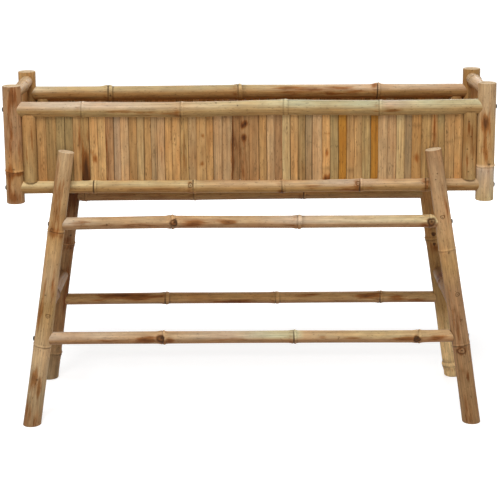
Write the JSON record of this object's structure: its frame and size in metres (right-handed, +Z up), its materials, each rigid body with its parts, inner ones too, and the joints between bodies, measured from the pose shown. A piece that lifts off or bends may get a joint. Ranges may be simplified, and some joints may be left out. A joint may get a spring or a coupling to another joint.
{
  "type": "raised garden bed",
  "caption": "Long narrow bamboo trough with slatted walls and an open top, carried at standing height between splayed pole legs joined by stretchers; holds soil, plants or pots.",
  "frame": {"origin": "on the floor under the middle of the bed", "axes": "+X along the bed to the right, +Y from the front to the back, +Z up"},
  "size_m": [1.1316, 0.3719, 0.8],
  "materials": {
    "straw_bamboo": "pale natural bamboo poles, smooth skin with brown joint rings and faint streaks",
    "brown_bamboo": "warm brown natural bamboo poles, smooth skin with darker stains and knots",
    "split_bamboo": "split bamboo slats, matt, each of its own tone from straw to olive and grey-brown",
    "dowel_wood": "plain turned hardwood",
    "dark_screw": "blackened steel, satin"
  },
  "bodies": {
    "root": {"bearer_1": "straw_bamboo", "bearer_2": "straw_bamboo", "bearer_3": "straw_bamboo", "bearer_4": "straw_bamboo", "bearer_5": "straw_bamboo", "bearer_6": "straw_bamboo", "bearer_7": "straw_bamboo", "bearer_pegs": "dowel_wood", "end_rail_dowels": "dowel_wood", "floor_slats": "split_bamboo", "leg_back_left": "brown_bamboo", "leg_back_right": "brown_bamboo", "leg_bolts": "dark_screw", "leg_front_left": "brown_bamboo", "leg_front_right": "brown_bamboo", "leg_screws": "dark_screw", "post_back_left": "brown_bamboo", "post_back_right": "brown_bamboo", "post_front_left": "brown_bamboo", "post_front_right": "brown_bamboo", "post_screws": "dark_screw", "rail_back_bottom": "straw_bamboo", "rail_back_top": "straw_bamboo", "rail_front_bottom": "straw_bamboo", "rail_front_top": "straw_bamboo", "rail_left_bottom": "straw_bamboo", "rail_left_top": "straw_bamboo", "rail_right_bottom": "straw_bamboo", "rail_right_top": "straw_bamboo", "side_bar_dowels": "dowel_wood", "side_bar_left": "straw_bamboo", "side_bar_right": "straw_bamboo", "slats_back": "split_bamboo", "slats_front": "split_bamboo", "slats_left": "split_bamboo", "slats_right": "split_bamboo", "stretcher_back_lower": "straw_bamboo", "stretcher_back_upper": "straw_bamboo", "stretcher_front_lower": "straw_bamboo", "stretcher_front_upper": "straw_bamboo", "upright_back_left": "straw_bamboo", "upright_back_right": "straw_bamboo", "upright_front_left": "straw_bamboo", "upright_front_right": "straw_bamboo", "upright_pegs": "dowel_wood"}
  },
  "joints": []
}
